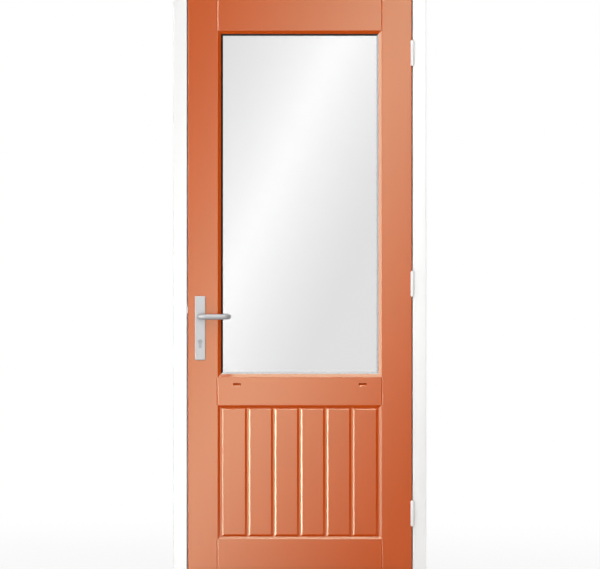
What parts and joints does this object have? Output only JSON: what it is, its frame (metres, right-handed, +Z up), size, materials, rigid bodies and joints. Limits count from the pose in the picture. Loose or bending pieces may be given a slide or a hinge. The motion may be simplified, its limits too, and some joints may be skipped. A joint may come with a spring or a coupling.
{
  "type": "back door",
  "caption": "Timber back door, glazed above and grooved panel below, painted orange, hung in a white frame with threshold, lever handles and mortise lock.",
  "frame": {"origin": "floor level under the threshold, midway between the jambs, in the plane of the outside faces of leaf and frame", "axes": "+X to the right seen from outside, +Y indoors, +Z up"},
  "size_m": [0.937, 0.178, 2.2045],
  "materials": {
    "orange_paint": "semi-gloss orange paint on timber",
    "white_paint": "semi-gloss white paint on timber",
    "dark_stone": "fine-ground dark grey composite stone",
    "black_rubber": "black rubber, slightly glossy",
    "lock_steel": "zinc-plated steel",
    "white_metal": "white powder coat",
    "beech": "bare beech",
    "clear_glass": "clear float glass",
    "spacer_metal": "mill-finish aluminium",
    "black_plastic": "matt black plastic",
    "satin_handle": "satin anodised aluminium"
  },
  "bodies": {
    "frame": {"lock_jamb": "white_paint", "hinge_jamb": "white_paint", "head": "white_paint", "threshold": "dark_stone", "lock_side_seal": "black_rubber", "hinge_side_seal": "black_rubber", "head_seal": "black_rubber", "threshold_seal": "black_rubber", "strike_plate": "lock_steel", "strike_screws": "lock_steel", "bottom_frame_flap": "white_metal", "middle_frame_flap": "white_metal", "top_frame_flap": "white_metal", "bottom_pin": "white_metal", "middle_pin": "white_metal", "top_pin": "white_metal", "frame_hinge_screws": "lock_steel"},
    "leaf": {"lock_stile": "orange_paint", "hinge_stile": "orange_paint", "top_rail": "orange_paint", "middle_rail": "orange_paint", "bottom_rail": "orange_paint", "rail_dowels": "beech", "grooved_panel": "orange_paint", "outer_pane": "clear_glass", "inner_pane": "clear_glass", "spacer_bar": "spacer_metal", "edge_sealant": "black_rubber", "glazing_seal": "black_rubber", "glazing_tape": "black_rubber", "setting_blocks": "black_plastic", "left_bead": "orange_paint", "right_bead": "orange_paint", "top_bead": "orange_paint", "bottom_bead": "orange_paint", "lock_case": "lock_steel", "case_cover": "lock_steel", "faceplate": "lock_steel", "faceplate_screws": "lock_steel", "cylinder_body": "satin_handle", "cylinder_screw": "lock_steel", "outside_plate": "satin_handle", "inside_plate": "satin_handle", "plate_bolts": "lock_steel", "bottom_leaf_flap": "white_metal", "middle_leaf_flap": "white_metal", "top_leaf_flap": "white_metal", "leaf_hinge_screws": "lock_steel"},
    "levers": {"outside_lever": "satin_handle", "inside_lever": "satin_handle", "spindle": "lock_steel", "follower": "lock_steel"},
    "latch": {"latch_bolt": "lock_steel"},
    "bolt": {"dead_bolt": "lock_steel"},
    "outside_key_plug": {"outside_plug": "satin_handle", "cam": "lock_steel"},
    "inside_key_plug": {"inside_plug": "satin_handle"}
  },
  "joints": [
    {"name": "door_swing", "type": "hinge", "parent": "frame", "child": "leaf", "pos_m": [0.41675, -0.01, 0], "axis": [0, 0, 1], "range_deg": [0, 110]},
    {"name": "lever_turn", "type": "hinge", "parent": "leaf", "child": "levers", "pos_m": [-0.369, 0.027, 0.974], "axis": [0, 1, 0], "range_deg": [0, 35], "stiffness_Nm_per_rad": 2, "springref_deg": -20.05},
    {"name": "latch_slide", "type": "slide", "parent": "leaf", "child": "latch", "axis": [1, 0, 0], "range_m": [0, 0.0116]},
    {"name": "outside_key_turn", "type": "hinge", "parent": "leaf", "child": "outside_key_plug", "pos_m": [-0.369, 0.027, 0.882], "axis": [0, -1, 0], "range_deg": [0, 360]},
    {"name": "bolt_throw", "type": "slide", "parent": "leaf", "child": "bolt", "axis": [-1, 0, 0], "range_m": [0, 0.02]},
    {"name": "inside_key_turn", "type": "hinge", "parent": "leaf", "child": "inside_key_plug", "pos_m": [-0.369, 0.027, 0.882], "axis": [0, -1, 0], "range_deg": [0, 360]}
  ],
  "couplings": [
    {"joint": "latch_slide", "follows": "lever_turn", "m_per_rad": 0.0188},
    {"joint": "outside_key_turn", "follows": "bolt_throw", "rad_per_m": 314.1}
  ]
}
